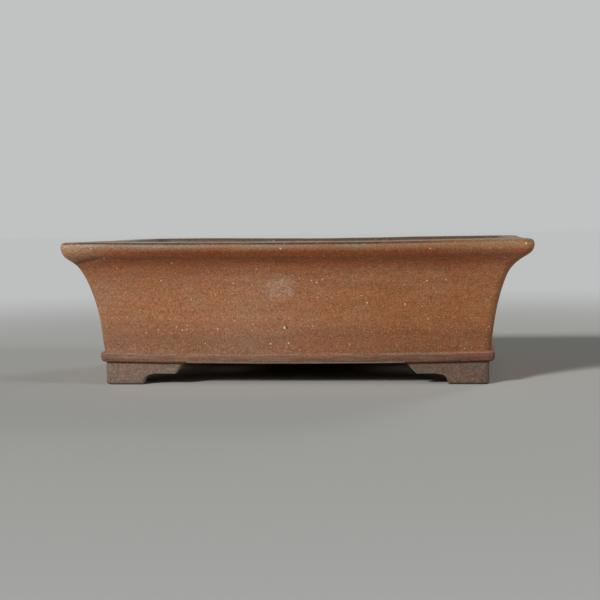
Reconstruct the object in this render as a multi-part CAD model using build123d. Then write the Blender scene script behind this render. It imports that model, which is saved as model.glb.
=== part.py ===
from build123d import *
import os

# Rectangular slab-built bonsai pot: flared ogee walls, a rolled lip, a band round
# the base and four bracket feet with cloud-shaped wings. Unglazed stoneware.
# Frame: millimetres, +Z up, front faces -Y, length runs along X.
# Origin: centre of the footprint, on the plane the feet rest on.

# ---- driving dimensions ----
RIM_LENGTH = 400.0
RIM_WIDTH = 312.0
POT_HEIGHT = 125.0
FOOT_HEIGHT = 20.0
FLOOR_THICKNESS = 10.0
BAND_HEIGHT = 8.5
LIP_HEIGHT = 17.0

# Insets are measured inwards, level, from the outermost line of the rim.
WALL_FOOT_INSET = 32.0
WALL_THICKNESS = 10.0
BAND_INSET = 28.8
LIP_INNER_INSET = 23.0
FOOT_INSET = 33.0

WALL_CORNER_RADIUS = 7.0
LIP_CORNER_RADIUS = 7.0
BAND_CORNER_RADIUS = 5.5
JOINT_CORNER_RADIUS = 4.0
HOLLOW_CORNER_RADIUS = 10.5

LIP_EDGE_ROUND = 3.0
LIP_INNER_ROUND = 4.0
BAND_TOP_ROUND = 1.5
BAND_BOTTOM_ROUND = 2.9
COIL_ROUND = 9.0
FLOOR_COIL_HEIGHT = 10.0

DRAIN_RADIUS = 18.0
DRAIN_OFFSET = 82.0
WIRE_HOLE_RADIUS = 3.0
WIRE_HOLE_X = 118.0
WIRE_HOLE_Y = 72.0
HOLE_EDGE_CHAMFER = 1.0

FOOT_THICKNESS = 14.0
FOOT_LEG_WIDTH = 33.0
FOOT_WING_CLEARANCE = 10.0
FOOT_WING_FLAT = 60.0
FOOT_REACH_LEFT = 67.5
FOOT_REACH_RIGHT = 71.0
FOOT_CORNER_RADIUS = 5.0
FOOT_SOLE_ROUND = 2.4

FLOOR_TOP = FOOT_HEIGHT + FLOOR_THICKNESS
BAND_TOP = FOOT_HEIGHT + BAND_HEIGHT
LIP_BOTTOM = POT_HEIGHT - LIP_HEIGHT
FLOOR_COIL_TOP = FLOOR_TOP + FLOOR_COIL_HEIGHT
HOLLOW_FOOT_INSET = WALL_FOOT_INSET + WALL_THICKNESS
HALF_MOUTH_LENGTH = RIM_LENGTH / 2 - LIP_INNER_INSET
HALF_MOUTH_WIDTH = RIM_WIDTH / 2 - LIP_INNER_INSET

# Outlines as (height, inset): the ogee outside of the wall, its inner face, and
# the rolled outside of the lip.
WALL_OUTSIDE = [(BAND_TOP, WALL_FOOT_INSET), (50, 29.7), (75, 24.9), (95, 18.5), (LIP_BOTTOM, 9.6)]
WALL_INSIDE = [(FLOOR_TOP, HOLLOW_FOOT_INSET), (55, 39.6), (80, 34.2), (98, 27.8)]
WALL_INSIDE += [(LIP_BOTTOM, LIP_INNER_INSET)]
LIP_OUTSIDE = [(LIP_BOTTOM, 8.9), (111.3, 5.0), (115.4, 1.6), (120.4, 0.07), (POT_HEIGHT, 0.5)]

SIDES = ["front", "back", "left", "right"]
TOLERANCE = 0.01


# ---- shared shapes ----
def outline(height, inset, radius):
    """The pot's plan outline at one height: a rectangle with rounded corners."""
    length = RIM_LENGTH - 2 * inset
    width = RIM_WIDTH - 2 * inset
    return Plane.XY.offset(height) * RectangleRounded(length, width, radius)


def block(bottom, top, inset, radius):
    """A straight-sided block of the plan outline between two heights."""
    return extrude(outline(bottom, inset, radius), top - bottom)


def flared(levels, radius):
    """A block whose sides follow a curved outline of (height, inset) levels."""
    return loft([outline(height, inset, radius) for height, inset in levels])


def quarter(side):
    """The prism that holds one side of the pot, up to its mitred corners."""
    margin = 10.0
    x = RIM_LENGTH / 2 + margin
    y = RIM_WIDTH / 2 + margin
    ridge = RIM_LENGTH / 2 - RIM_WIDTH / 2
    corners = {
        "front": [(-x, -y), (x, -y), (ridge, 0), (-ridge, 0)],
        "back": [(-x, y), (-ridge, 0), (ridge, 0), (x, y)],
        "left": [(-x, -y), (-ridge, 0), (-x, y)],
        "right": [(x, -y), (x, y), (ridge, 0)],
    }
    plan = make_face(Polyline(*corners[side], close=True))
    return extrude(Plane.XY * plan, POT_HEIGHT + margin)


def edges_at(shape, height):
    """The edges that lie level at a given height."""
    return shape.edges().filter_by_position(Axis.Z, height - TOLERANCE, height + TOLERANCE)


def write(name, shape):
    """Write one piece of the pot to its own file."""
    export_step(shape, f"parts/{name}.step")


# ---- floor ----
def floor_slab():
    """The bottom slab, with two drainage holes and four holes for tie-down wires."""
    slab = block(FOOT_HEIGHT, FLOOR_TOP, HOLLOW_FOOT_INSET, JOINT_CORNER_RADIUS)
    drains = Locations((-DRAIN_OFFSET, 0), (DRAIN_OFFSET, 0))
    wires = GridLocations(2 * WIRE_HOLE_X, 2 * WIRE_HOLE_Y, 2, 2)
    holes = Sketch() + drains * Circle(DRAIN_RADIUS) + wires * Circle(WIRE_HOLE_RADIUS)
    slab -= extrude(Plane.XY.offset(FOOT_HEIGHT) * holes, FLOOR_THICKNESS)
    rims = slab.edges().filter_by(GeomType.CIRCLE)
    drain_rims = rims.filter_by(lambda edge: abs(edge.radius - DRAIN_RADIUS) < TOLERANCE)
    return chamfer(drain_rims, HOLE_EDGE_CHAMFER)


# ---- walls ----
def hollow():
    """The space inside the four walls, before clay coils round off its seams."""
    well = block(FOOT_HEIGHT, FLOOR_TOP, HOLLOW_FOOT_INSET, JOINT_CORNER_RADIUS)
    return well + flared(WALL_INSIDE, JOINT_CORNER_RADIUS)


def wall_ring():
    """The four walls as one ring, from the underside of the floor to the lip."""
    base = block(FOOT_HEIGHT, BAND_TOP, WALL_FOOT_INSET, WALL_CORNER_RADIUS)
    return base + flared(WALL_OUTSIDE, WALL_CORNER_RADIUS) - hollow()


# ---- lip and band ----
def is_round_mouth(edge):
    """Whether an edge of the lip's top runs round its mouth, not round its outside."""
    centre = edge.center()
    across = abs(centre.X) <= HALF_MOUTH_LENGTH + TOLERANCE
    return across and abs(centre.Y) <= HALF_MOUTH_WIDTH + TOLERANCE


def lip_ring():
    """The rolled lip that stands out over the walls, round at its edges."""
    body = flared(LIP_OUTSIDE, LIP_CORNER_RADIUS)
    body = fillet(edges_at(body, POT_HEIGHT), LIP_EDGE_ROUND)
    body -= block(LIP_BOTTOM, POT_HEIGHT, LIP_INNER_INSET, HOLLOW_CORNER_RADIUS)
    return fillet(edges_at(body, POT_HEIGHT).filter_by(is_round_mouth), LIP_INNER_ROUND)


def band_ring():
    """The flat strip round the foot of the walls, with soft edges."""
    body = block(FOOT_HEIGHT, BAND_TOP, BAND_INSET, BAND_CORNER_RADIUS)
    body = fillet(edges_at(body, BAND_TOP), BAND_TOP_ROUND)
    body = fillet(edges_at(body, FOOT_HEIGHT), BAND_BOTTOM_ROUND)
    return body - block(FOOT_HEIGHT, BAND_TOP, WALL_FOOT_INSET, WALL_CORNER_RADIUS)


# ---- coils pressed into the inner seams ----
def seam_coils():
    """All the clay between the sharp inner seams and the rounded ones."""
    rounded = flared(WALL_INSIDE, HOLLOW_CORNER_RADIUS)
    rounded = fillet(edges_at(rounded, FLOOR_TOP), COIL_ROUND)
    return flared(WALL_INSIDE, JOINT_CORNER_RADIUS) - rounded


# ---- feet ----
def foot_elevation(reach):
    """One arm of a foot seen square on, from its outer corner towards the middle.

    The leg rises from the sole, a hollow curve leads into the level underside of the
    wing, and the wing ends in a slanted tip that meets the underside of the pot.
    """
    leg = (FOOT_LEG_WIDTH, 0.0)
    ankle = (FOOT_LEG_WIDTH + 1.6, 4.0)
    bend = (FOOT_LEG_WIDTH + 3.6, 7.8)
    wing = (FOOT_LEG_WIDTH + 8.6, FOOT_WING_CLEARANCE)
    tip = (FOOT_WING_FLAT, FOOT_WING_CLEARANCE)
    end = (reach, FOOT_HEIGHT)
    top = (0, FOOT_HEIGHT)
    border = Polyline(top, (0, 0), leg, ankle)
    border += ThreePointArc(ankle, bend, wing)
    border += Polyline(wing, tip, end, top)
    return make_face(border)


def foot(reach):
    """The foot under the front left corner: two arms of thick slab at a right angle."""
    elevation = foot_elevation(reach)
    along_x = extrude(Plane.XZ * elevation, -FOOT_THICKNESS)
    along_y = mirror(along_x, about=Plane(origin=(0, 0, 0), z_dir=(1, -1, 0)))
    body = along_x + along_y
    body = fillet(body.edges().filter_by(Axis.Z).sort_by(Axis.X)[0], FOOT_CORNER_RADIUS)
    body = fillet(edges_at(body, 0.0), FOOT_SOLE_ROUND)
    x = RIM_LENGTH / 2 - FOOT_INSET
    y = RIM_WIDTH / 2 - FOOT_INSET
    return Pos(-x, -y, 0) * body


def feet():
    """All four feet by corner name; the wings on the right reach a little further."""
    left = foot(FOOT_REACH_LEFT)
    right = mirror(foot(FOOT_REACH_RIGHT), about=Plane.YZ)
    return {
        "front_left": left,
        "front_right": right,
        "back_left": mirror(left, about=Plane.XZ),
        "back_right": mirror(right, about=Plane.XZ),
    }


# ---- the pieces ----
os.makedirs("parts", exist_ok=True)

walls = wall_ring()
lips = lip_ring()
bands = band_ring()
coils = seam_coils()
floor_coils = coils & block(FLOOR_TOP, FLOOR_COIL_TOP, 0, LIP_CORNER_RADIUS)
corner_coils = coils & block(FLOOR_COIL_TOP, LIP_BOTTOM, 0, LIP_CORNER_RADIUS)

write("floor_slab", floor_slab())

for side in SIDES:
    prism = quarter(side)
    write(f"wall_{side}", walls & prism)
    write(f"lip_{side}", lips & prism)
    write(f"band_{side}", bands & prism)
    write(f"floor_coil_{side}", floor_coils & prism)

for coil in corner_coils.solids():
    centre = coil.center()
    depth = "front" if centre.Y < 0 else "back"
    hand = "left" if centre.X < 0 else "right"
    write(f"corner_coil_{depth}_{hand}", coil)

for corner, one_foot in feet().items():
    write(f"foot_{corner}", one_foot)
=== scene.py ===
"""Looks of a slab-built, unglazed stoneware bonsai pot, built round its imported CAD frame.

Shapes are worked out in millimetres in the frame's own axes: +X along the front, -Y out of
the front, +Z up. Every visible piece is a closed mesh named after the CAD node it replaces,
and all of them are bent by one field of small hand-building and firing errors, so that
pieces that meet still meet.
"""
import math

import bmesh
import bpy
from mathutils import Matrix, Vector, geometry, noise


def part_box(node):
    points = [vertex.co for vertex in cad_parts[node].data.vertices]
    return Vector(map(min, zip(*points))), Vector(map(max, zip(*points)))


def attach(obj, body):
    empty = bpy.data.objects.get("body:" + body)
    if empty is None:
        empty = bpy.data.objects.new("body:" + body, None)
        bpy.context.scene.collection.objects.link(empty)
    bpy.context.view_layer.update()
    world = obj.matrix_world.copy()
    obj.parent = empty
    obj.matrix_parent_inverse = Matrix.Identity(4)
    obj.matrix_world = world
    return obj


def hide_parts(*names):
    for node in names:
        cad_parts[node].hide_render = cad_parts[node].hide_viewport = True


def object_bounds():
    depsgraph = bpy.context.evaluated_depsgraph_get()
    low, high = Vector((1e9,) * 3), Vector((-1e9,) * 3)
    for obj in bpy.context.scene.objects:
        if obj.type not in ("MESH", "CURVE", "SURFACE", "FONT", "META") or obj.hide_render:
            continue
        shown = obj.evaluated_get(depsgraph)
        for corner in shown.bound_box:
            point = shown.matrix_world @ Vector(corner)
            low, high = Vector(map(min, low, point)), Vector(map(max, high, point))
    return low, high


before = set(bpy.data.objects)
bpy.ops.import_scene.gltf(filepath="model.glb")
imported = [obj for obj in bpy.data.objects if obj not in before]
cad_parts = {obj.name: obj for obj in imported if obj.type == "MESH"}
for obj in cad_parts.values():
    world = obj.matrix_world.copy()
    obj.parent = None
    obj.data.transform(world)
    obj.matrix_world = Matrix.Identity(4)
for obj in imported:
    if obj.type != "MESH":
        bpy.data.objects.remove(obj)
cad_low, cad_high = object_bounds()

MM = 0.001
SIDES = ("front", "right", "back", "left")


def box_mm(node):
    """A CAD node's lowest and highest corner in millimetres."""
    low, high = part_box(node)
    return low / MM, high / MM


# ---- sizes read from the frame ----
HALF_LENGTH = cad_high.x / MM
HALF_WIDTH = cad_high.y / MM
POT_HEIGHT = cad_high.z / MM
LIP_BOTTOM = box_mm("lip_front")[0].z
FOOT_TOP = box_mm("foot_front_left")[1].z
FLOOR_TOP = box_mm("floor_slab")[1].z
BAND_TOP = box_mm("band_front")[1].z
FOOT_INSET = HALF_LENGTH + box_mm("foot_front_left")[0].x
BAND_INSET = HALF_LENGTH + box_mm("band_left")[0].x
FLOOR_INSET = HALF_LENGTH + box_mm("floor_slab")[0].x

# ---- sizes that the boxes don't show ----
# An inset is measured inwards from the lip's outer edge.
WALL_FOOT_INSET = 32.0
LIP_INNER_INSET = 23.0
WALL_INSIDE = [(LIP_INNER_INSET, LIP_BOTTOM), (27.8, 98.0), (34.2, 80.0), (39.6, 55.0)]
# Radii of the pot's corners, seen from above.
WALL_CORNER = 7.0
BAND_CORNER = 5.5
JOINT_CORNER = 4.0
HOLLOW_CORNER = 10.5
COIL_ROUND = 9.0
COIL_OVERLAP = 0.7
SHARP_EDGE = math.radians(42)

# ---- the errors of the hand and the kiln ----
LONG_SAG = 1.7
SHORT_SAG = 1.2
RIM_STIFFNESS = 0.2
BODY_SHIFT = 3.1
SHIFT_HEIGHTS = (97.0, 117.0)
FOOT_SHIFT = 0.7
FOOT_HEIGHTS = (18.0, 21.0)
SWELL = 1.1
SWELL_ENDS = (60.0, 170.0)
SWELL_HEIGHT = 38.0
SWELL_REACH = 13.0
RIM_TILT = 1.0
# Wavelength and size of each wobble, and the seed that makes them the same on every run.
WOBBLES = ((85.0, 0.42), (26.0, 0.15), (9.0, 0.05))
WOBBLE_SEED = 5
DROOP_CORNER = Vector((-HALF_LENGTH, -HALF_WIDTH))
DROOP_REACH = 26.0
DROOP_HEIGHT = 109.0
DROOP_BAND = 6.0
DROOP = 1.3
DROOP_OUTWARD = 0.5
FOLD_MIDDLE = (-178.0, 108.8)
FOLD_SLOPE = 0.16
FOLD_HALF_LENGTH = 12.0
CREASE_DEPTH = 0.6
CREASE_WIDTH = 1.7
RIDGE_HEIGHT = 0.5
RIDGE_WIDTH = 2.0
RIDGE_BELOW = 3.4

# Without this, Blender seeds its vector noise from the clock.
noise.seed_set(WOBBLE_SEED)


def share(value, start, end):
    """Zero up to start, one from end on, and a straight line between them."""
    return min(1.0, max(0.0, (value - start) / (end - start)))


def ease(value, start, end):
    """Zero at start, one at end, with a soft turn at both."""
    t = share(value, start, end)
    return t * t * (3 - 2 * t)


def settle(x, y, z):
    """How far the long spans have sunk between the feet, in mm."""
    along = max(0.0, 1.0 - (x / (HALF_LENGTH - FOOT_INSET)) ** 2)
    across = max(0.0, 1.0 - (y / (HALF_WIDTH - FOOT_INSET)) ** 2)
    return (LONG_SAG * along + SHORT_SAG * across) * (1.0 - RIM_STIFFNESS * z / POT_HEIGHT)


def fold(x, z):
    """How far a crease and the ridge below it stand out under the corner of the lip."""
    along = (x - FOLD_MIDDLE[0]) / FOLD_HALF_LENGTH
    above = z - FOLD_MIDDLE[1] - FOLD_SLOPE * (x - FOLD_MIDDLE[0])
    crease = -CREASE_DEPTH * math.exp(-((above / CREASE_WIDTH) ** 2))
    ridge = RIDGE_HEIGHT * math.exp(-(((above + RIDGE_BELOW) / RIDGE_WIDTH) ** 2))
    return (crease + ridge) * math.exp(-(along**2))


def hand_made(point):
    """A point of the ideal pot, moved to where it is on the fired one."""
    x, y, z = point
    drift = Vector((0.0, 0.0, 0.0))
    for length, size in WOBBLES:
        drift += noise.noise_vector(Vector(point) / length) * size
    # The lip was set on a little to the right of the body, and the body of the feet.
    body = BODY_SHIFT * (1.0 - ease(z, *SHIFT_HEIGHTS))
    feet = FOOT_SHIFT * (1.0 - ease(z, *FOOT_HEIGHTS))
    drift.x -= body + feet
    # The left end of the wall swells a little above the band.
    swell = math.exp(-(((z - SWELL_HEIGHT) / SWELL_REACH) ** 2))
    drift.x -= SWELL * ease(-x, *SWELL_ENDS) * swell
    drift.z -= settle(x, y, z) + RIM_TILT * (x / HALF_LENGTH) * (z / POT_HEIGHT)
    # Under the lip the front left corner hangs lower than the rest.
    near = math.exp(-((Vector((x, y)) - DROOP_CORNER).length / DROOP_REACH) ** 2)
    drop = DROOP * near * math.exp(-(((z - DROOP_HEIGHT) / DROOP_BAND) ** 2))
    drift += Vector((-DROOP_OUTWARD * drop, -DROOP_OUTWARD * drop, -drop))
    if y < -HALF_WIDTH / 2:
        drift.y -= fold(x, z)
    # The soles stand flat on the table, and the rim was rubbed level.
    drift.z *= ease(z, 0.0, FOOT_TOP)
    return Vector((x + drift.x, y + drift.y, min(z + drift.z, POT_HEIGHT)))


# ---- outlines ----
def smooth_line(points, step):
    """Points about one step apart on a smooth curve through the given points."""
    line = []
    for i in range(len(points) - 1):
        p1, p2 = Vector(points[i]), Vector(points[i + 1])
        p0 = Vector(points[i - 1]) if i else p1 * 2 - p2
        p3 = Vector(points[i + 2]) if i + 2 < len(points) else p2 * 2 - p1
        t0 = 0.0
        t1 = t0 + math.sqrt((p1 - p0).length)
        t2 = t1 + math.sqrt((p2 - p1).length)
        t3 = t2 + math.sqrt((p3 - p2).length)
        count = max(1, round((p2 - p1).length / step))
        for k in range(count):
            t = t1 + (t2 - t1) * k / count
            a1 = p0 * ((t1 - t) / (t1 - t0)) + p1 * ((t - t0) / (t1 - t0))
            a2 = p1 * ((t2 - t) / (t2 - t1)) + p2 * ((t - t1) / (t2 - t1))
            a3 = p2 * ((t3 - t) / (t3 - t2)) + p3 * ((t - t2) / (t3 - t2))
            b1 = a1 * ((t2 - t) / (t2 - t0)) + a2 * ((t - t0) / (t2 - t0))
            b2 = a2 * ((t3 - t) / (t3 - t1)) + a3 * ((t - t1) / (t3 - t1))
            line.append(b1 * ((t2 - t) / (t2 - t1)) + b2 * ((t - t1) / (t2 - t1)))
    line.append(Vector(points[-1]))
    return line


def rounded_path(corners, radii, step):
    """Points along straight runs whose corners are rounded to the given radii."""
    path = [Vector(corners[0])]
    for i in range(1, len(corners) - 1):
        before, corner, after = (Vector(corners[j]) for j in (i - 1, i, i + 1))
        into = (corner - before).normalized()
        out = (after - corner).normalized()
        turn = into.angle(out)
        reach = radii[i - 1] * math.tan(turn / 2)
        start = corner - into * reach
        end = corner + out * reach
        count = max(3, round(radii[i - 1] * turn / step))
        bend = (out - into).normalized()
        centre = corner + bend * (radii[i - 1] / math.cos(turn / 2))
        gap = (start - path[-1]).length
        path += fill(path[-1], start, max(1, round(gap / (3 * step))))
        for k in range(1, count + 1):
            t = k / count
            spoke = (start - centre) * (1 - t) + (end - centre) * t
            path.append(centre + spoke.normalized() * radii[i - 1])
    last = Vector(corners[-1])
    return path + fill(path[-1], last, max(1, round((last - path[-1]).length / (3 * step))))


def fill(start, end, count):
    """Evenly spaced points from start, left out, to end."""
    return [start.lerp(end, k / count) for k in range(1, count + 1)]


def between(start, end, count):
    """Evenly spaced points that split the way between two others into count steps."""
    return fill(Vector(start), Vector(end), count)[:-1]


# ---- mesh helpers ----
def piece_from(name, loops):
    """A closed mesh through flat loops of points, each joined to the next, in mm."""
    mesh, place_layer = new_mesh()
    rows = [[clay_point(mesh, place_layer, p) for p in loop] for loop in loops]
    around = len(rows[0])
    for i in range(len(rows) - 1):
        for j in range(around):
            k = (j + 1) % around
            mesh.faces.new((rows[i][j], rows[i][k], rows[i + 1][k], rows[i + 1][j]))
    for end in (0, -1):
        for triangle in geometry.tessellate_polygon([loops[end]]):
            mesh.faces.new([rows[end][i] for i in triangle])
    return finished(name, mesh)


def new_mesh():
    """An empty bmesh whose points will remember their place on the ideal pot."""
    mesh = bmesh.new()
    return mesh, mesh.verts.layers.float_vector.new("ideal_place")


def clay_point(mesh, place_layer, point):
    """A vertex moved by hand_made, which remembers where it was drawn, in metres."""
    vertex = mesh.verts.new(hand_made(point) * MM)
    vertex[place_layer] = Vector(point) * MM
    return vertex


def finished(name, mesh):
    """The object made from a bmesh, smooth except at real edges."""
    bmesh.ops.recalc_face_normals(mesh, faces=mesh.faces)
    for face in mesh.faces:
        face.smooth = True
    data = bpy.data.meshes.new(name)
    mesh.to_mesh(data)
    mesh.free()
    data.set_sharp_from_angle(angle=SHARP_EDGE)
    obj = bpy.data.objects.new(name, data)
    bpy.context.scene.collection.objects.link(obj)
    return obj


def stand_for(obj, node, material):
    """Puts a finished piece in the place of its CAD node."""
    obj.data.materials.append(material)
    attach(obj, "root")
    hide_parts(node)
    return obj


# ---- pieces that run round the pot ----
ARC_STEPS = 7


def side_stations(half, step):
    """Stations along one side: half a corner arc, the straight run, half an arc."""
    arc = [("arc", math.radians(45.0 * (1 - k / ARC_STEPS))) for k in range(ARC_STEPS)]
    count = round(2 * half / step)
    run = [("run", 2.0 * k / count - 1.0) for k in range(count + 1)]
    return [(-1, *s) for s in arc] + [(0, *s) for s in run] + [(1, *s) for s in reversed(arc)]


def side_point(side, station, inset, height, radius):
    """A point of a section, placed at a station of one side of the pot."""
    hand, kind, value = station
    lengthwise = side in ("front", "back")
    half = (HALF_LENGTH if lengthwise else HALF_WIDTH) - inset
    out = (HALF_WIDTH if lengthwise else HALF_LENGTH) - inset
    if kind == "run":
        along = value * (half - radius)
    else:
        along = hand * (half - radius + radius * math.sin(value))
        out += radius * (math.cos(value) - 1)
    turned = {
        "front": (along, -out),
        "right": (out, along),
        "back": (-along, out),
        "left": (-out, -along),
    }
    return Vector((*turned[side], height))


def ring_piece(name, side, section, step):
    """One mitred side of a ring: a section of (inset, height, corner radius) swept along."""
    half = HALF_LENGTH if side in ("front", "back") else HALF_WIDTH
    loops = []
    for station in side_stations(half, step):
        loops.append([side_point(side, station, *point) for point in section])
    return piece_from(name, loops)


def with_radius(points, start, end):
    """Section points with a corner radius that runs evenly from start to end."""
    last = max(1, len(points) - 1)
    return [(p[0], p[1], start + (end - start) * i / last) for i, p in enumerate(points)]


def wall_section():
    """The wall: ogee outside, level top under the lip, flared inside, level bottom."""
    outside = [(32.2, FOOT_TOP), (WALL_FOOT_INSET, BAND_TOP), (30.0, 48.0), (26.9, 66.0)]
    outside += [(22.4, 84.0), (18.0, 96.0), (13.2, 104.0), (9.4, LIP_BOTTOM)]
    inside = WALL_INSIDE + [(FLOOR_INSET, FLOOR_TOP), (FLOOR_INSET, FOOT_TOP)]
    out = with_radius(smooth_line(outside, step=2.2), WALL_CORNER, WALL_CORNER)
    top = with_radius(between(outside[-1], inside[0], 4), WALL_CORNER, JOINT_CORNER)
    into = with_radius(smooth_line(inside, step=3.0), JOINT_CORNER, JOINT_CORNER)
    under = with_radius(between(inside[-1], outside[0], 4), JOINT_CORNER, WALL_CORNER)
    return out + top + into + under


def lip_section():
    """The rolled lip: soft underside, round outer edge, slightly crowned top."""
    top = POT_HEIGHT
    outside = [(9.3, LIP_BOTTOM), (7.8, 109.3), (5.0, 111.3), (2.7, 113.3), (1.2, 115.5)]
    outside += [(0.3, 117.8), (0.0, 120.2), (0.35, 122.2), (0.95, 123.3), (1.7, 123.75)]
    outside += [(1.75, 124.2), (3.2, 124.65), (8.5, top), (14.0, top), (19.0, 124.7)]
    outside += [(21.6, 123.6), (22.8, 121.4), (LIP_INNER_INSET, 116.0)]
    outside += [(LIP_INNER_INSET, LIP_BOTTOM)]
    line = smooth_line(outside, step=0.9)
    roll = with_radius(line, WALL_CORNER, HOLLOW_CORNER)
    return roll + with_radius(between(line[-1], line[0], 4), HOLLOW_CORNER, WALL_CORNER)


def band_section():
    """The base band: soft top edge, face leaning in towards a rounder lower edge."""
    outside = [(31.0, FOOT_TOP), (30.2, 20.3), (29.4, 21.4), (28.95, 23.2), (BAND_INSET, 25.4)]
    outside += [(28.9, 27.0), (29.4, 28.0), (30.5, BAND_TOP), (WALL_FOOT_INSET, 28.9)]
    line = smooth_line(outside, step=0.6)
    face = with_radius(line, BAND_CORNER, WALL_CORNER)
    inner = fill(line[-1], Vector((WALL_FOOT_INSET + 0.2, FOOT_TOP)), 3)
    return face + with_radius(inner + between(inner[-1], line[0], 2), WALL_CORNER, BAND_CORNER)


def coil_section():
    """The coil in the seam between wall and floor, wiped to a hollow quarter round."""
    centre = Vector((FLOOR_INSET - COIL_OVERLAP + COIL_ROUND, FLOOR_TOP + COIL_ROUND))
    arc = []
    for k in range(11):
        angle = math.radians(180 + 90 * k / 10)
        arc.append(centre + Vector((math.cos(angle), math.sin(angle))) * COIL_ROUND)
    face = with_radius(arc, HOLLOW_CORNER, HOLLOW_CORNER - COIL_ROUND)
    on_wall = Vector((FLOOR_INSET - 0.5, FLOOR_TOP + COIL_ROUND / 2))
    seam = [Vector((FLOOR_INSET, FLOOR_TOP)), on_wall]
    return face + with_radius(seam, JOINT_CORNER, JOINT_CORNER)


# ---- corner coils ----
def corner_coil(name, x_sign, y_sign):
    """The coil up one inner corner: a crescent between a tight corner and a wide one."""
    inside = WALL_INSIDE + [(FLOOR_INSET - COIL_OVERLAP, FLOOR_TOP + COIL_ROUND)]
    wide_then_tight = ((HOLLOW_CORNER, range(0, 91, 9)), (JOINT_CORNER, range(90, -1, -9)))
    loops = []
    for inset, height in smooth_line(inside, step=3.0):
        x, y = HALF_LENGTH - inset, HALF_WIDTH - inset
        loop = []
        for radius, degrees in wide_then_tight:
            for angle in degrees:
                a = math.radians(angle)
                px = x - radius + radius * math.cos(a)
                py = y - radius + radius * math.sin(a)
                loop.append(Vector((x_sign * px, y_sign * py, height)))
        loops.append(loop)
    return piece_from(name, loops)


# ---- feet ----
# A foot has two arms. Each is drawn flat, along from the outer corner and up from the table.
FOOT_THICKNESS = 14.0
FOOT_CORNER = 5.0
FOOT_CORNER_STEPS = 8
FOOT_INNER_CORNER = 4.0
INNER_CORNER_START = FOOT_THICKNESS + FOOT_INNER_CORNER
INNER_MEETS_OUTER = 33.0
LEFT_FOOT_LIMIT = 69.0
LEFT_LEG = 33.8
RIGHT_LEG = 34.9
WING_LEAST = 69.3
WING_CORNER = (62.0, 9.7)
WING_LEAN = 0.45
WING_LEAN_ENDS = (45.0, 60.0)
LEG_LEAN = 0.13
LEG_LEAN_LIMIT = 41.0
LEG_EDGE = 2.3
LEG_EDGE_LIMIT = 36.0
WING_EDGE = 1.5


def foot_outline(reach):
    """The lower edge of one foot arm, from its wing tip to the sole near the corner."""
    leg = LEFT_LEG if reach < LEFT_FOOT_LIMIT else RIGHT_LEG
    tip = (max(reach - 0.4, WING_LEAST), FOOT_TOP - 0.35)
    hollow, ankle, heel = (leg + 10.5, 9.9), (leg + 2.2, 7.8), (leg, 0.0)
    corners = [tip, WING_CORNER, hollow, ankle, heel, (FOOT_CORNER, 0.0)]
    return rounded_path(corners, radii=[1.0, 8.0, 5.0, 2.0], step=0.7)


def inward(path, i):
    """The direction into the clay, square to the outline, at one of its points."""
    before = path[max(0, i - 1)]
    after = path[min(len(path) - 1, i + 1)]
    along = (after - before).normalized()
    return Vector((along.y, -along.x))


def foot_piece(name, x_sign, y_sign, reach):
    """A bracket foot: one arm's stations, round its outer corner, then the other's."""
    path = foot_outline(reach)
    arm = []
    for i, point in enumerate(path):
        arm.append((point, inward(path, i), 0.0))
    corner = []
    for k in range(1, FOOT_CORNER_STEPS):
        turn = math.radians(90.0 * k / FOOT_CORNER_STEPS)
        corner.append((Vector((FOOT_CORNER, 0.0)), Vector((0.0, 1.0)), turn))
    loops = [foot_loop(station, False) for station in arm]
    loops += [foot_loop(station, False) for station in corner]
    loops += [foot_loop(station, True) for station in reversed(arm)]
    x = x_sign * (HALF_LENGTH - FOOT_INSET)
    y = y_sign * (HALF_WIDTH - FOOT_INSET)
    placed = []
    for loop in loops:
        placed.append([Vector((x - x_sign * p.x, y - y_sign * p.y, p.z)) for p in loop])
    return piece_from(name, placed)


def foot_loop(station, second_arm):
    """The closed section of a foot at one station of its outline."""
    low, into, corner_angle = station
    room = max(0.5, FOOT_TOP - low.y)
    edge = min(LEG_EDGE if low.x < LEG_EDGE_LIMIT else WING_EDGE, room * 0.4)
    lean = WING_LEAN * share(low.x, *WING_LEAN_ENDS)
    if low.x < LEG_LEAN_LIMIT:
        lean -= LEG_LEAN * share(low.x, FOOT_CORNER, INNER_MEETS_OUTER)
    top = Vector((low.x + lean * (FOOT_TOP - low.y), FOOT_TOP))
    raised = low + into * edge
    rounding = []
    for k in range(6):
        angle = math.radians(90 * k / 5)
        rounding.append((low + into * edge * (1 - math.sin(angle)), edge * (1 - math.cos(angle))))
    loop = [(top.lerp(raised, k / 5), 0.0) for k in range(5)]
    loop += rounding
    loop += [(low, FOOT_THICKNESS / 3), (low, FOOT_THICKNESS * 2 / 3)]
    loop += [(point, FOOT_THICKNESS - depth) for point, depth in reversed(rounding)]
    loop += [(raised.lerp(top, k / 4), FOOT_THICKNESS) for k in range(1, 5)]
    loop += [(top, FOOT_THICKNESS * 2 / 3), (top, FOOT_THICKNESS / 3)]
    return [foot_place(p, depth, corner_angle, second_arm) for p, depth in loop]


def foot_place(point, depth, corner_angle, second_arm):
    """From along and up an arm, and deep into it, to the foot's own x, y and z."""
    if corner_angle:
        outer = on_corner(FOOT_CORNER, FOOT_CORNER, corner_angle)
        inner = on_corner(INNER_CORNER_START, FOOT_INNER_CORNER, corner_angle)
    else:
        along = point.x
        outer = Vector((along, 0.0))
        if along <= INNER_MEETS_OUTER:
            inner_run = INNER_MEETS_OUTER - INNER_CORNER_START
            outer_run = INNER_MEETS_OUTER - FOOT_CORNER
            along = INNER_CORNER_START + (along - FOOT_CORNER) * inner_run / outer_run
        inner = Vector((along, FOOT_THICKNESS))
    place = outer.lerp(inner, depth / FOOT_THICKNESS)
    if second_arm:
        place = Vector((place.y, place.x))
    return Vector((place.x, place.y, point.y))


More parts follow.
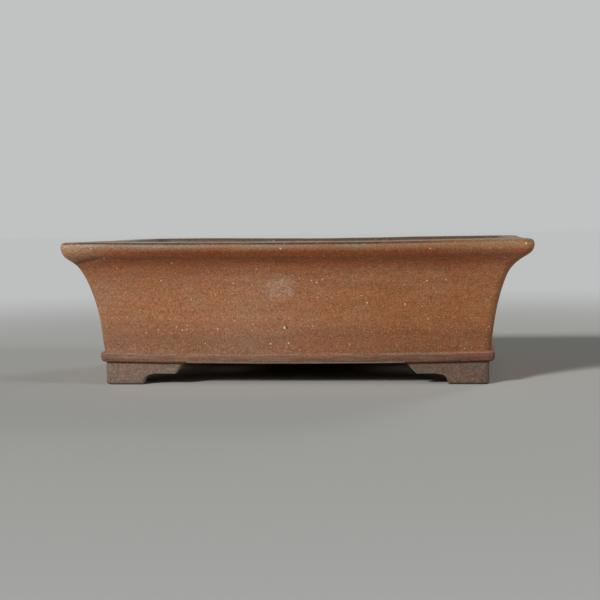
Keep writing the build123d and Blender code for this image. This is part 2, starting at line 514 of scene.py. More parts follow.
def on_corner(start, radius, angle):
    """A point round a foot's corner, whose straight sides begin at start."""
    return Vector((start - radius * math.sin(angle), start - radius * math.cos(angle)))


# ---- floor ----
DRAIN_X = 82.0
DRAIN_RADIUS = 18.0
DRAIN_PATCH = 24.0
DRAIN_EDGE = 1.6
WIRE_X = 118.0
WIRE_Y = 72.0
WIRE_RADIUS = 3.0
WIRE_PATCH = 8.0
WIRE_EDGE = 0.7
FLOOR_STEP = 4.0


def spread(anchors, step):
    """Grid lines through all the anchors, about one step apart between them."""
    lines = [anchors[0]]
    for a, b in zip(anchors, anchors[1:]):
        count = max(1, round((b - a) / step))
        lines += [a + (b - a) * k / count for k in range(1, count + 1)]
    return lines


def floor_piece(name):
    """The floor slab: a grid with round holes let into square patches of it."""
    half_x = HALF_LENGTH - FLOOR_INSET
    half_y = HALF_WIDTH - FLOOR_INSET
    holes = []
    for x_sign in (-1, 1):
        holes.append((x_sign * DRAIN_X, 0.0, DRAIN_PATCH, DRAIN_RADIUS, DRAIN_EDGE))
    for x_sign in (-1, 1):
        for y_sign in (-1, 1):
            holes.append((x_sign * WIRE_X, y_sign * WIRE_Y, WIRE_PATCH, WIRE_RADIUS, WIRE_EDGE))
    half_lines_x = [0.0, DRAIN_X - DRAIN_PATCH, DRAIN_X + DRAIN_PATCH]
    half_lines_x += [WIRE_X - WIRE_PATCH, WIRE_X + WIRE_PATCH, half_x]
    half_lines_y = [0.0, DRAIN_PATCH, WIRE_Y - WIRE_PATCH, WIRE_Y + WIRE_PATCH, half_y]
    xs = mirrored(spread(half_lines_x, FLOOR_STEP))
    ys = mirrored(spread(half_lines_y, FLOOR_STEP))
    mesh, place_layer = new_mesh()
    sheets = {}
    for level in (FOOT_TOP, FLOOR_TOP):
        grid = {}
        for x in xs:
            for y in ys:
                point = corner_cut(x, y, half_x, half_y, level)
                grid[x, y] = clay_point(mesh, place_layer, point)
        sheets[level] = grid
        for x0, x1 in zip(xs, xs[1:]):
            for y0, y1 in zip(ys, ys[1:]):
                if not any(inside_patch((x0 + x1) / 2, (y0 + y1) / 2, hole) for hole in holes):
                    mesh.faces.new((grid[x0, y0], grid[x1, y0], grid[x1, y1], grid[x0, y1]))
    rim = rim_of(xs, ys)
    low, high = sheets[FOOT_TOP], sheets[FLOOR_TOP]
    for a, b in zip(rim, rim[1:] + rim[:1]):
        mesh.faces.new((low[a], low[b], high[b], high[a]))
    for hole in holes:
        cut_hole(mesh, place_layer, sheets, xs, ys, hole)
    loose = [v for v in mesh.verts if not v.link_faces]
    bmesh.ops.delete(mesh, geom=loose, context="VERTS")
    return finished(name, mesh)


def mirrored(lines):
    """Grid lines from zero outwards, with their mirror images before them."""
    return [-line for line in reversed(lines[1:])] + lines


def corner_cut(x, y, half_x, half_y, z):
    """A grid point, with the slab's four sharp corners drawn in to their rounding."""
    if abs(x) == half_x and abs(y) == half_y:
        cut = JOINT_CORNER * (1 - math.sqrt(0.5))
        return (x - math.copysign(cut, x), y - math.copysign(cut, y), z)
    return (x, y, z)


def inside_patch(x, y, hole):
    """Whether a point lies in the square patch round a hole."""
    return abs(x - hole[0]) < hole[2] and abs(y - hole[1]) < hole[2]


def rim_of(xs, ys):
    """The grid's outer points in order, anticlockwise seen from above."""
    rim = [(x, ys[0]) for x in xs[:-1]]
    rim += [(xs[-1], y) for y in ys[:-1]]
    rim += [(x, ys[-1]) for x in reversed(xs[1:])]
    rim += [(xs[0], y) for y in reversed(ys[1:])]
    return rim


def cut_hole(mesh, place_layer, sheets, xs, ys, hole):
    """Joins a square patch's border on both faces of the floor through a round hole."""
    cx, cy, half, _, soft = hole
    px = [x for x in xs if abs(x - cx) < half + 0.01]
    py = [y for y in ys if abs(y - cy) < half + 0.01]
    border = rim_of(px, py)
    rings = [[sheets[FLOOR_TOP][p] for p in border]]
    profile = [(0.5, None, 0.0), (None, soft, 0.0)]
    for a in (0.5, 1.05, math.pi / 2):
        profile.append((None, soft * (1 - math.sin(a)), soft * (1 - math.cos(a))))
    upper = [ring_of(border, hole, part, out, FLOOR_TOP - drop) for part, out, drop in profile]
    lower = [ring_of(border, hole, part, out, FOOT_TOP + drop) for part, out, drop in profile]
    for ring in upper + list(reversed(lower)):
        rings.append([clay_point(mesh, place_layer, p) for p in ring])
    rings.append([sheets[FOOT_TOP][p] for p in border])
    for a, b in zip(rings, rings[1:]):
        for j in range(len(border)):
            k = (j + 1) % len(border)
            mesh.faces.new((a[j], a[k], b[k], b[j]))


def ring_of(border, hole, part, out, height):
    """One ring of points round a hole: part way out to the border, or a set distance."""
    cx, cy, _, radius, _ = hole
    ring = []
    for x, y in border:
        spoke = Vector((x - cx, y - cy))
        reach = radius + out if out is not None else radius + (spoke.length - radius) * part
        spoke = spoke.normalized() * reach
        ring.append(Vector((cx + spoke.x, cy + spoke.y, height)))
    return ring


# ---- shader nodes ----
# The smallest grain's share of the given radius, and how much the largest adds to it.
GRAIN_SIZE_LEAST = 0.45
GRAIN_SIZE_RANGE = 0.75
# How far in from the rim's front edge a spot on the front can lie.
FRONT_DEPTH = 60.0


class Nodes:
    """Makes and joins the shader nodes of one material or world."""

    def __init__(self, owner, shader_name):
        owner.use_nodes = True
        self.tree = owner.node_tree
        self.shader = self.tree.nodes[shader_name]

    def add(self, kind, **sockets):
        """A node whose named inputs are set, with _ for a space."""
        node = self.tree.nodes.new(kind)
        for name, value in sockets.items():
            self.feed(node, name.replace("_", " "), value)
        return node

    def feed(self, node, socket, value):
        """Sets one input: from a node, from a socket, or to a number or a colour."""
        if isinstance(value, bpy.types.Node):
            value = value.outputs[0]
        if isinstance(value, bpy.types.NodeSocket):
            self.tree.links.new(value, node.inputs[socket])
        else:
            node.inputs[socket].default_value = value

    def math(self, operation, *values):
        """One step of arithmetic."""
        node = self.tree.nodes.new("ShaderNodeMath")
        node.operation = operation
        for socket, value in enumerate(values):
            self.feed(node, socket, value)
        return node.outputs[0]

    def times(self, first, *others):
        """The product of two or more values."""
        for other in others:
            first = self.math("MULTIPLY", first, other)
        return first

    def remap(self, source, low, high, to_low=0.0, to_high=1.0):
        """A soft step: low and high land on the two given ends."""
        node = self.tree.nodes.new("ShaderNodeMapRange")
        node.interpolation_type = "SMOOTHSTEP"
        for socket, value in enumerate((source, low, high, to_low, to_high)):
            self.feed(node, socket, value)
        return node.outputs[0]

    def step_mm(self, source, low_mm, high_mm, to_low=0.0, to_high=1.0):
        """A soft step along a length, between two places given in millimetres."""
        return self.remap(source, low_mm * MM, high_mm * MM, to_low, to_high)

    def mix(self, factor, first, second, mode="MIX"):
        """A mix of two colours."""
        node = self.tree.nodes.new("ShaderNodeMix")
        node.data_type = "RGBA"
        node.blend_type = mode
        for socket, value in ((0, factor), (6, first), (7, second)):
            self.feed(node, socket, (*value, 1.0) if isinstance(value, tuple) else value)
        return node.outputs[2]

    def darken(self, colour, factor, tint):
        """Multiplies a colour by a tint, as far as the factor goes."""
        return self.mix(factor, colour, tint, "MULTIPLY")

    def tone(self, colour, value):
        """Multiplies all of a colour by one value."""
        grey = self.add("ShaderNodeCombineColor", Red=value, Green=value, Blue=value)
        return self.mix(1.0, colour, grey, "MULTIPLY")

    def noise(self, place, size_mm, detail=3.0, stretch=None):
        """Noise whose blotches are about size_mm across."""
        if stretch:
            place = self.add("ShaderNodeMapping", Vector=place, Scale=stretch)
        scale = 1 / (size_mm * MM)
        return self.add("ShaderNodeTexNoise", Vector=place, Scale=scale, Detail=detail)

    def grains(self, place, spacing_mm, radius_mm, portion):
        """Round grains, in a portion of the cells of a given spacing, 1 at the middle."""
        cells = self.add("ShaderNodeTexVoronoi", Vector=place, Scale=1 / (spacing_mm * MM))
        draw = self.add("ShaderNodeSeparateColor", Color=cells.outputs["Color"])
        size = self.math("MULTIPLY_ADD", draw.outputs[1], GRAIN_SIZE_RANGE, GRAIN_SIZE_LEAST)
        reach = self.times(size, radius_mm / spacing_mm)
        depth = self.math("SUBTRACT", reach, cells.outputs["Distance"])
        dot = self.remap(depth, 0.0, 0.5 * radius_mm / spacing_mm)
        return self.times(dot, self.math("LESS_THAN", draw.outputs[0], portion))

    def near(self, places, centre, reach_mm, slope=0.0):
        """1 at a spot on the front, fading out over an oval reach across and up its slope."""
        across = self.math("SUBTRACT", places["x"], centre[0] * MM)
        up = self.math("SUBTRACT", places["z"], centre[1] * MM)
        up = self.math("SUBTRACT", up, self.times(across, slope))
        across = self.math("DIVIDE", across, reach_mm[0] * MM)
        up = self.math("DIVIDE", up, reach_mm[1] * MM)
        square = self.math("ADD", self.math("POWER", across, 2.0), self.math("POWER", up, 2.0))
        return self.times(
            self.remap(square, 1.0, 0.15),
            self.math("LESS_THAN", places["inset_y"], FRONT_DEPTH * MM),
            self.math("LESS_THAN", places["y"], 0.0),
            self.math("GREATER_THAN", places["outward"], 0.0),
        )


def places_on(nodes):
    """Where a point was drawn on the ideal pot, how far in from the rim, and how it faces."""
    place = nodes.tree.nodes.new("ShaderNodeAttribute")
    place.attribute_name = "ideal_place"
    parts = nodes.add("ShaderNodeSeparateXYZ", Vector=place.outputs["Vector"])
    inset_x = nodes.math("ABSOLUTE", parts.outputs["X"])
    inset_x = nodes.math("SUBTRACT", HALF_LENGTH * MM, inset_x)
    inset_y = nodes.math("ABSOLUTE", parts.outputs["Y"])
    inset_y = nodes.math("SUBTRACT", HALF_WIDTH * MM, inset_y)
    surface = nodes.tree.nodes.new("ShaderNodeNewGeometry")
    facing = nodes.add("ShaderNodeSeparateXYZ", Vector=surface.outputs["Normal"])
    away_x = nodes.times(facing.outputs["X"], parts.outputs["X"])
    away_y = nodes.times(facing.outputs["Y"], parts.outputs["Y"])
    return {
        "all": place.outputs["Vector"],
        "x": parts.outputs["X"],
        "y": parts.outputs["Y"],
        "z": parts.outputs["Z"],
        "inset": nodes.math("MINIMUM", inset_x, inset_y),
        "inset_y": inset_y,
        "up": facing.outputs["Z"],
        "outward": nodes.math("ADD", away_x, away_y),
    }


# ---- clay ----
# A tint multiplies the colour under it. The other colours take its place.
BLOTCH_TINT = (0.95, 1.02, 1.0)
PEBBLE_TINT = (1.05, 0.95, 0.92)
GRIT_LOW_TINT = (1.10, 0.97, 0.84)
GRIT_HIGH_TINT = (0.95, 1.015, 1.06)
FINE_GROG = (0.62, 0.36, 0.18)
COARSE_GROG = (0.76, 0.50, 0.28)
DARK_GRAIN = (0.07, 0.033, 0.022)
PIT_SHADE = (0.025, 0.014, 0.011)
# Noise this stretched runs in streaks round the pot, as a wiping cloth leaves them.
STREAKED = (0.1, 0.1, 1.0)


def clay(name, body, warm, pale, roughness, grog, zones):
    """Unglazed grogged stoneware: kiln-flashed, wiped, and speckled with grog."""
    material = bpy.data.materials.new(name)
    nodes = Nodes(material, "Principled BSDF")
    places = places_on(nodes)
    place = places["all"]

    cloud = nodes.noise(place, 80.0, detail=2.0)
    blotch = nodes.noise(place, 19.0, detail=4.0)
    mottle = nodes.noise(place, 5.0)
    pebble = nodes.noise(place, 3.0, detail=2.0)
    grit = nodes.noise(place, 1.2, detail=2.0)
    wiping = nodes.noise(place, 2.6, stretch=STREAKED)
    drag = nodes.noise(place, 8.0, detail=2.0, stretch=STREAKED)

    colour = nodes.mix(nodes.remap(cloud, 0.35, 0.65), body, warm)
    colour = nodes.mix(nodes.remap(blotch, 0.5, 0.78, 0.0, 0.45), colour, pale)
    colour = zones(nodes, places, colour)
    colour = nodes.darken(colour, nodes.remap(blotch, 0.35, 0.65), BLOTCH_TINT)
    colour = nodes.darken(colour, nodes.remap(pebble, 0.62, 0.38), PEBBLE_TINT)
    colour = nodes.tone(colour, nodes.remap(mottle, 0.25, 0.75, 0.95, 1.05))
    colour = nodes.tone(colour, nodes.remap(pebble, 0.25, 0.75, 0.94, 1.06))
    colour = nodes.tone(colour, nodes.remap(drag, 0.3, 0.7, 0.95, 1.05))
    colour = nodes.tone(colour, nodes.remap(wiping, 0.25, 0.75, 0.94, 1.06))
    colour = nodes.tone(colour, nodes.remap(grit, 0.25, 0.75, 0.62, 1.38))
    grit_tint = nodes.mix(nodes.remap(grit, 0.36, 0.60), GRIT_LOW_TINT, GRIT_HIGH_TINT)
    colour = nodes.darken(colour, 1.0, grit_tint)

    fine = nodes.grains(place, spacing_mm=1.7, radius_mm=0.44, portion=grog)
    coarse = nodes.grains(place, spacing_mm=5.2, radius_mm=0.85, portion=max(0.0, grog - 0.15))
    dark = nodes.grains(place, spacing_mm=3.6, radius_mm=0.42, portion=0.25)
    pits = nodes.grains(place, spacing_mm=17.0, radius_mm=0.80, portion=0.30)
    colour = nodes.mix(nodes.times(fine, 0.8), colour, FINE_GROG)
    colour = nodes.mix(nodes.times(dark, 0.45), colour, DARK_GRAIN)
    colour = nodes.mix(nodes.times(coarse, 0.85), colour, COARSE_GROG)
    # Pits are painted near black, as the shade inside them.
    colour = nodes.mix(nodes.times(pits, 0.85), colour, PIT_SHADE)
    nodes.feed(nodes.shader, "Base Color", colour)

    rough = nodes.remap(mottle, 0.3, 0.7, roughness - 0.07, roughness + 0.07)
    nodes.feed(nodes.shader, "Roughness", rough)
    nodes.feed(nodes.shader, "Specular IOR Level", 0.35)

    relief = nodes.times(grit, 0.5)
    for bump, height in ((mottle, 0.6), (wiping, 0.5), (coarse, 0.4)):
        relief = nodes.math("ADD", relief, nodes.times(bump, height))
    relief = nodes.math("SUBTRACT", relief, nodes.times(pits, 1.2))
    surface = nodes.add("ShaderNodeBump", Strength=0.6, Distance=0.0004, Height=relief)
    nodes.feed(nodes.shader, "Normal", surface)
    return material


# ---- zones that more than one piece has ----
CREASE_SHADE_TINT = (0.68, 0.56, 0.48)
RIDGE_HIGHLIGHT = (0.36, 0.20, 0.12)
INSIDE_SHADE_TINT = (0.66, 0.70, 0.78)


def flash_and_shade(nodes, places):
    """How far the kiln's smoke and painted shade darken the clay: most at the low right end."""
    # Painted shade: the right end, most of all low down, is darkened as if the light fell off
    # away from the left, on top of the kiln's smoke.
    along = nodes.step_mm(places["x"], -60, 110)
    return nodes.times(along, nodes.step_mm(places["z"], 104, 62, 0.55, 1.0))


def corner_fold(nodes, places, colour):
    """Painted shade in the crease under the front left corner, and a painted highlight on the
    ridge below it.
    """
    crease = nodes.near(places, FOLD_MIDDLE, (1.5 * FOLD_HALF_LENGTH, 2.0), FOLD_SLOPE)
    ridge_middle = (FOLD_MIDDLE[0] + 5, FOLD_MIDDLE[1] - RIDGE_BELOW)
    ridge = nodes.near(places, ridge_middle, (FOLD_HALF_LENGTH, 1.9), FOLD_SLOPE)
    # The crease is painted darker as its shade, the ridge paler as a highlight.
    colour = nodes.darken(colour, crease, CREASE_SHADE_TINT)
    return nodes.mix(nodes.times(ridge, 0.35), colour, RIDGE_HIGHLIGHT)


def inside_shade(nodes, places, colour):
    """The unseen inside, painted duller and darker than the face of the pot as the shade within
    it.
    """
    # Painted shade on faces that look into the pot.
    return nodes.darken(colour, nodes.step_mm(places["outward"], -10, -60), INSIDE_SHADE_TINT)


# ---- walls ----
WALL_UNDERSIDE_RED_AND_SHADE = (1.0, 0.65, 0.54)
WALL_FLASH_AND_SHADE_TINT = (0.81, 0.70, 0.52)
LOW_WALL_SHADE_TINT = (0.74, 0.765, 0.815)
SMEAR = (0.395, 0.230, 0.160)
SMEAR_MIDDLE = (-10.5, 85.5)
SMEAR_REACH = (17.5, 14.0)
CHIP_LIT_EDGE = (0.66, 0.50, 0.34)
CHIP_MIDDLE = (-8.0, 51.0)
CHIP_REACH = (1.3, 1.5)
CHIP_HOLE_SHADE = (0.05, 0.03, 0.02)
CHIP_HOLE_MIDDLE = (-6.4, 51.0)
CHIP_HOLE_REACH = (1.2, 1.7)


def wall_zones(nodes, places, colour):
    """Red and painted shade under the lip, smoke and painted shade at the right, painted shade
    low above the band; a smear, and a chip with a painted highlight and shade.
    """
    z = places["z"]
    # Redder, with painted shade, where the wall faces down under the lip.
    under = nodes.times(nodes.step_mm(z, 94, 115), nodes.remap(places["up"], -0.1, -0.6))
    colour = nodes.darken(colour, under, WALL_UNDERSIDE_RED_AND_SHADE)
    colour = nodes.darken(colour, flash_and_shade(nodes, places), WALL_FLASH_AND_SHADE_TINT)
    # Painted shade with a greyer tone: the wall darkens towards the band.
    colour = nodes.darken(colour, nodes.step_mm(z, 62, 41), LOW_WALL_SHADE_TINT)
    colour = corner_fold(nodes, places, colour)
    smear = nodes.near(places, SMEAR_MIDDLE, SMEAR_REACH)
    cloth = nodes.noise(places["all"], 6.0)
    smear = nodes.times(smear, nodes.remap(cloth, 0.35, 0.6, 0.45, 0.85))
    colour = nodes.mix(smear, colour, SMEAR)
    # A chip drawn in colour: a painted highlight on its lit left edge and painted shade in its
    # hole.
    colour = nodes.mix(nodes.near(places, CHIP_MIDDLE, CHIP_REACH), colour, CHIP_LIT_EDGE)
    colour = nodes.mix(nodes.near(places, CHIP_HOLE_MIDDLE, CHIP_HOLE_REACH), colour, CHIP_HOLE_SHADE)
    return inside_shade(nodes, places, colour)


# ---- lips ----
LIP_UNDERSIDE_RED_AND_SHADE = (0.99, 0.66, 0.56)
LIP_MIDDLE_SHADE_TINT = (0.87, 0.77, 0.62)
LIP_HOLLOW_SHADE_TINT = (0.81, 0.70, 0.67)
LIP_MEETS_WALL = (0.335, 0.124, 0.056)
LIP_FLASH_AND_SHADE_TINT = (0.98, 0.95, 0.76)
DUST_AND_SHEEN = (0.255, 0.212, 0.165)
TOP_SHEEN_BROWN = (0.360, 0.270, 0.180)
TOP_SHEEN_GREY = (0.500, 0.440, 0.350)
SOIL = (0.105, 0.072, 0.046)
WORN_AND_LIT = (0.44, 0.285, 0.185)
RIM_EDGE_SHADE = (0.035, 0.020, 0.014)


def lip_zones(nodes, places, colour):
    """Red and painted shade below, grey dusting and painted sheen above, soil at the inner edge,
    a corner paled by wear and painted light, a painted shade line round the rim.
    """
    x, z, inset, inset_y = (places[key] for key in ("x", "z", "inset", "inset_y"))
    outer = nodes.step_mm(inset, 16, 12)
    # Redder, with painted shade, on the lip's underside.
    under = nodes.times(nodes.step_mm(z, 118.5, 115), nodes.step_mm(z, 108, 113, 0.55, 1.0))
    colour = nodes.darken(colour, nodes.times(under, outer), LIP_UNDERSIDE_RED_AND_SHADE)
    # Painted shade on the lower curve of the lip, deepest away from its ends.
    middle = nodes.step_mm(nodes.math("ABSOLUTE", x), 185, 80)
    middle = nodes.times(middle, nodes.step_mm(z, 111, 117))
    colour = nodes.darken(colour, middle, LIP_MIDDLE_SHADE_TINT)
    hollow = nodes.times(middle, nodes.step_mm(z, 119.5, 116.5))
    colour = nodes.darken(colour, hollow, LIP_HOLLOW_SHADE_TINT)
    meets_wall = nodes.times(outer, nodes.step_mm(z, 112.5, 108.2, 0.0, 0.8))
    colour = nodes.mix(meets_wall, colour, LIP_MEETS_WALL)
    colour = nodes.darken(colour, flash_and_shade(nodes, places), LIP_FLASH_AND_SHADE_TINT)

    patchy = nodes.noise(places["all"], 24.0, detail=4.0)
    # Grey dusting and a painted satin sheen on the lip's upper curve, stronger towards the left.
    dust_and_sheen = nodes.times(
        nodes.step_mm(z, 117.5, 121.5),
        nodes.remap(patchy, 0.35, 0.7, 0.1, 0.6),
        nodes.step_mm(x, 60, -190, 0.5, 1.4),
    )
    colour = nodes.mix(dust_and_sheen, colour, DUST_AND_SHEEN)
    # Painted sheen over the top's own colour on faces that look up: paler and greyer towards the
    # left.
    top = nodes.remap(places["up"], 0.80, 0.96)
    top = nodes.times(top, nodes.remap(patchy, 0.35, 0.65, 0.55, 0.85))
    top_sheen_colour = nodes.mix(nodes.step_mm(x, -70, -185), TOP_SHEEN_BROWN, TOP_SHEEN_GREY)
    colour = nodes.mix(top, colour, top_sheen_colour)

    ragged = nodes.noise(places["all"], 9.0, detail=4.0)
    ragged = nodes.math("MULTIPLY_ADD", ragged, 14 * MM, z)
    soil = nodes.times(
        nodes.step_mm(inset, 16.5, 19.5),
        nodes.step_mm(ragged, 119, 130, 0.0, 0.72),
        nodes.step_mm(inset_y, 36, 22, 0.3, 1.0),
    )
    colour = nodes.mix(soil, colour, SOIL)
    # The front left corner paler: partly wear, partly painted light where it turns towards the
    # lamp.
    worn_and_lit = nodes.times(
        nodes.step_mm(x, -148, -192, 0.0, 0.5),
        nodes.step_mm(inset_y, 60, 20),
        nodes.math("LESS_THAN", places["y"], 0.0),
    )
    colour = nodes.mix(worn_and_lit, colour, WORN_AND_LIT)
    # Painted shade in a thin line just below the rim's top edge, fainter to the right.
    line = nodes.times(
        nodes.step_mm(z, 121.8, 123.5),
        nodes.step_mm(z, 124.25, 124.0),
        nodes.step_mm(inset, 3.2, 2.6),
        nodes.step_mm(x, 90, 165, 1.0, 0.3),
        nodes.remap(patchy, 0.38, 0.55, 0.55, 0.85),
    )
    colour = nodes.mix(line, colour, RIM_EDGE_SHADE)
    return inside_shade(nodes, places, corner_fold(nodes, places, colour))


# ---- band and feet ----
BASE_PATCH = (0.190, 0.100, 0.066)
BASE_GREY = (0.150, 0.125, 0.098)
BASE_FLASH_AND_SHADE_TINT = (0.66, 0.62, 0.62)
BAND_TINT = (1.15, 0.88, 0.75)
BAND_STREAKED = (0.05, 0.05, 1.0)
BAND_TOP_WEAR_AND_HIGHLIGHT = (0.29, 0.155, 0.095)
FEET_FROM_X = 96
FEET_FROM_Y = 52
JOINT_STAIN = (0.075, 0.034, 0.022)
BAND_LOWER_HIGHLIGHT = (0.33, 0.26, 0.21)
FOOT_EDGE_HIGHLIGHT = (0.27, 0.215, 0.165)
SOLE_TINT = (0.45, 0.45, 0.48)


def base_zones(nodes, places, colour):
    """Wiped band, paled by wear and a painted highlight along its top, with a painted highlight
    on its lower edge; blotched feet, with dark joints and soles and painted highlights on their
    lower edges; smoke and painted shade at the right.
    """
    place, z, up = places["all"], places["z"], places["up"]
    patch = nodes.remap(nodes.noise(place, 11.0, detail=4.0), 0.46, 0.62, 0.0, 0.75)
    colour = nodes.mix(patch, colour, BASE_PATCH)
    grey = nodes.remap(nodes.noise(place, 8.0), 0.52, 0.66, 0.0, 0.5)
    colour = nodes.mix(grey, colour, BASE_GREY)
    colour = nodes.darken(colour, flash_and_shade(nodes, places), BASE_FLASH_AND_SHADE_TINT)

    band = nodes.step_mm(z, 19.8, 20.2)
    colour = nodes.darken(colour, band, BAND_TINT)
    wiped = nodes.noise(place, 1.3, stretch=BAND_STREAKED)
    wiped = nodes.remap(wiped, 0.3, 0.7, 0.72, 1.28)
    colour = nodes.mix(band, colour, nodes.tone(colour, wiped))
    # The band's top edge paler: partly wear from rubbing, partly a painted highlight where it
    # catches the light.
    top_wear_and_highlight = nodes.remap(nodes.noise(place, 12.0), 0.3, 0.6, 0.55, 1.0)
    top_wear_and_highlight = nodes.times(nodes.step_mm(z, 26.9, 28.3), top_wear_and_highlight)
    colour = nodes.mix(top_wear_and_highlight, colour, BAND_TOP_WEAR_AND_HIGHLIGHT)

    past_x = nodes.math("SUBTRACT", nodes.math("ABSOLUTE", places["x"]), FEET_FROM_X * MM)
    past_y = nodes.math("SUBTRACT", nodes.math("ABSOLUTE", places["y"]), FEET_FROM_Y * MM)
    footed = nodes.step_mm(nodes.math("MINIMUM", past_x, past_y), -5, 0)
    joint = nodes.times(nodes.step_mm(z, 18.6, 19.7), nodes.step_mm(z, 22.0, 20.5), footed, 0.55)
    colour = nodes.mix(joint, colour, JOINT_STAIN)
    # Painted highlight on the band's rounded lower edge between the feet, as if it caught light
    # from the floor.
    edge = nodes.times(
        nodes.remap(footed, 1.0, 0.0),
        nodes.step_mm(z, 21.8, 20.9),
        nodes.remap(up, -0.95, -0.7, 0.0, 0.8),
    )
    colour = nodes.mix(edge, colour, BAND_LOWER_HIGHLIGHT)
    # Painted highlight, with some wear, on the feet's rounded lower edges that face down and out.
    foot_edge_highlight = nodes.times(
        nodes.remap(up, -0.1, -0.45),
        nodes.remap(up, -0.97, -0.8),
        nodes.step_mm(z, 5, 8, 0.0, 0.6),
        nodes.step_mm(z, 18, 16.5),
    )
    colour = nodes.mix(foot_edge_highlight, colour, FOOT_EDGE_HIGHLIGHT)
    return nodes.darken(colour, nodes.step_mm(z, 2.2, 0.4), SOLE_TINT)


# ---- floor slab and coils ----
SILT = (0.13, 0.098, 0.074)


def floor_zones(nodes, places, colour):
    """Patches of silt left in the hollow."""
    silt = nodes.remap(nodes.noise(places["all"], 34.0, detail=4.0), 0.42, 0.7, 0.0, 0.6)
    return nodes.mix(silt, colour, SILT)


# ---- build the pot ----
wall_clay = clay(
    "wall_clay",
    body=(0.345, 0.161, 0.082),
    warm=(0.335, 0.139, 0.063),
    pale=(0.335, 0.184, 0.109),
    roughness=0.62,
    grog=0.50,
    zones=wall_zones,
)
lip_clay = clay(
    "lip_clay",
    body=(0.285, 0.145, 0.076),
    warm=(0.285, 0.130, 0.062),
    pale=(0.280, 0.175, 0.112),
    roughness=0.47,
    grog=0.30,
    zones=lip_zones,
)
base_clay = clay(
    "base_clay",
    body=(0.165, 0.116, 0.084),
    warm=(0.172, 0.108, 0.075),
    pale=(0.165, 0.130, 0.102),
    roughness=0.58,
    grog=0.07,
    zones=base_zones,
)
floor_clay = clay(
    "floor_clay",
    body=(0.220, 0.125, 0.080),
    warm=(0.215, 0.112, 0.066),
    pale=(0.215, 0.145, 0.105),
    roughness=0.72,
    grog=0.20,
    zones=floor_zones,
)

# Each ring's name, section, material, slot and step between stations.
RINGS = (
    ("wall", wall_section(), wall_clay, "wall_clay", 3.0),
    ("lip", lip_section(), lip_clay, "lip_clay", 3.0),
    ("band", band_section(), base_clay, "base_clay", 3.0),
    ("floor_coil", coil_section(), floor_clay, "floor_clay", 4.0),
)
for side in SIDES:
    for part, section, material, slot_name, step in RINGS:
        node = f"{part}_{side}"
        stand_for(ring_piece(f"clay_{node}", side, section, step), node, material)

stand_for(floor_piece("clay_floor_slab"), "floor_slab", floor_clay)

for depth, y_sign in (("front", -1), ("back", 1)):
    for hand, x_sign in (("left", -1), ("right", 1)):
        corner = f"{depth}_{hand}"
        coil = corner_coil(f"clay_corner_coil_{corner}", x_sign, y_sign)
        stand_for(coil, f"corner_coil_{corner}", floor_clay)
        low, high = box_mm(f"foot_{corner}")
        foot = foot_piece(f"clay_foot_{corner}", x_sign, y_sign, high.x - low.x)
        stand_for(foot, f"foot_{corner}", base_clay)


# ---- stage ----
STAGE_HALF = 20.0
STAGE_NEAR = (0.500, 0.505, 0.478)
STAGE_FAR = (0.770, 0.785, 0.790)
STAGE_FADE = (0.45, 1.60)
ROOM = (0.53, 0.545, 0.54)


def studio():
    """A plain floor, paler far off, with soft light from both sides and behind."""
    mesh = bmesh.new()
    bmesh.ops.create_grid(mesh, x_segments=8, y_segments=8, size=STAGE_HALF)
    data = bpy.data.meshes.new("studio_floor")
    mesh.to_mesh(data)
    mesh.free()
    floor = bpy.data.objects.new("studio_floor", data)
    bpy.context.scene.collection.objects.link(floor)
    material = bpy.data.materials.new("pale_floor")
    nodes = Nodes(material, "Principled BSDF")
    surface = nodes.tree.nodes.new("ShaderNodeNewGeometry")
    away = nodes.tree.nodes.new("ShaderNodeVectorMath")
    away.operation = "LENGTH"
    nodes.feed(away, 0, surface.outputs["Position"])
    fade = nodes.remap(away.outputs["Value"], *STAGE_FADE)
    nodes.feed(nodes.shader, "Base Color", nodes.mix(fade, STAGE_NEAR, STAGE_FAR))
    nodes.feed(nodes.shader, "Roughness", 0.6)
    nodes.feed(nodes.shader, "Specular IOR Level", 0.0)
    data.materials.append(material)
    room()
    soft_lamp("key", (-1.0, -1.5, 0.88), spread_angle=12.0, strength=2.8)
    soft_lamp("fill", (1.9, -0.5, 0.66), spread_angle=20.0, strength=0.8)
    soft_lamp("back", (0.9, 1.7, 0.8), spread_angle=16.0, strength=0.65)


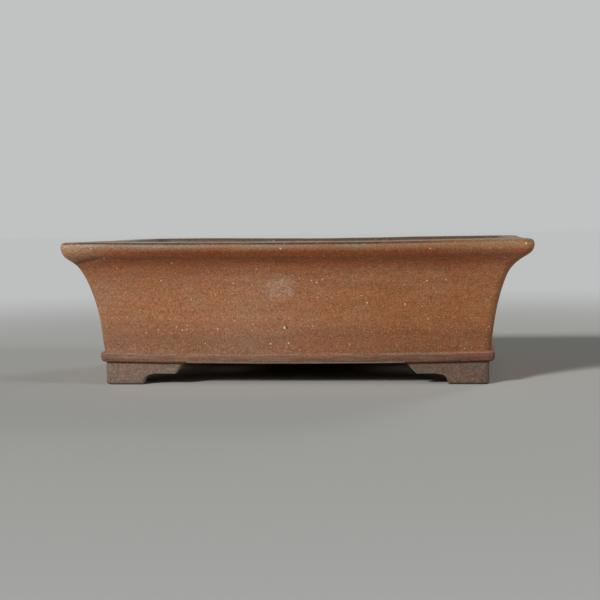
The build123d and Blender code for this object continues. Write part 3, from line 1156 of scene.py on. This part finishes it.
def soft_lamp(name, place, spread_angle, strength):
    """A wide, even light that comes from the direction of a place."""
    light = bpy.data.lights.new(name, "SUN")
    light.angle = math.radians(spread_angle)
    light.energy = strength
    lamp = bpy.data.objects.new(name, light)
    lamp.location = place
    lamp.rotation_euler = (-Vector(place)).to_track_quat("-Z", "Y").to_euler()
    # Seen this low, the back lamp's reflection would be a hard glare.
    lamp.visible_glossy = name != "back"
    bpy.context.scene.collection.objects.link(lamp)


def room():
    """A pale room to look at, whose light on the pot comes from between low and overhead."""
    world = bpy.data.worlds.new("studio")
    bpy.context.scene.world = world
    nodes = Nodes(world, "Background")
    direction = nodes.tree.nodes.new("ShaderNodeTexCoord")
    parts = nodes.add("ShaderNodeSeparateXYZ", Vector=direction.outputs["Generated"])
    height = parts.outputs["Z"]
    from_low = nodes.remap(height, 0.10, 0.35)
    to_overhead = nodes.remap(height, 0.10, 0.70, 0.6, 0.05)
    glow = nodes.times(from_low, to_overhead)
    # The camera sees the room itself, and shiny clay a little of it.
    ray = nodes.tree.nodes.new("ShaderNodeLightPath")
    seen, shiny = ray.outputs["Is Camera Ray"], ray.outputs["Is Glossy Ray"]
    shows = nodes.math("MULTIPLY_ADD", shiny, 0.35, seen)
    nodes.feed(nodes.shader, "Color", nodes.mix(shows, glow, ROOM))


# ---- camera ----
EYE = (0.1387, -1.2322, 0.1363)
YAW, PITCH, ROLL = (math.radians(a) for a in (6.22, 3.25, -0.79))
LENS_MM = 78.18
LENS_SHIFT = -0.0305


def camera():
    """A long lens just above the rim's height, a little right of the pot's middle."""
    lens = bpy.data.cameras.new("camera")
    lens.sensor_width = 36.0
    lens.lens = LENS_MM
    lens.shift_x = LENS_SHIFT
    lens.clip_start = 0.05
    lens.clip_end = 50.0
    eye = bpy.data.objects.new("camera", lens)
    turn = Matrix.Rotation(YAW, 4, "Z") @ Matrix.Rotation(math.pi / 2 - PITCH, 4, "X")
    turn @= Matrix.Rotation(ROLL, 4, "Z")
    eye.matrix_world = Matrix.Translation(EYE) @ turn
    bpy.context.scene.collection.objects.link(eye)
    bpy.context.scene.camera = eye


studio()
camera()
bpy.context.scene.view_settings.view_transform = "Standard"
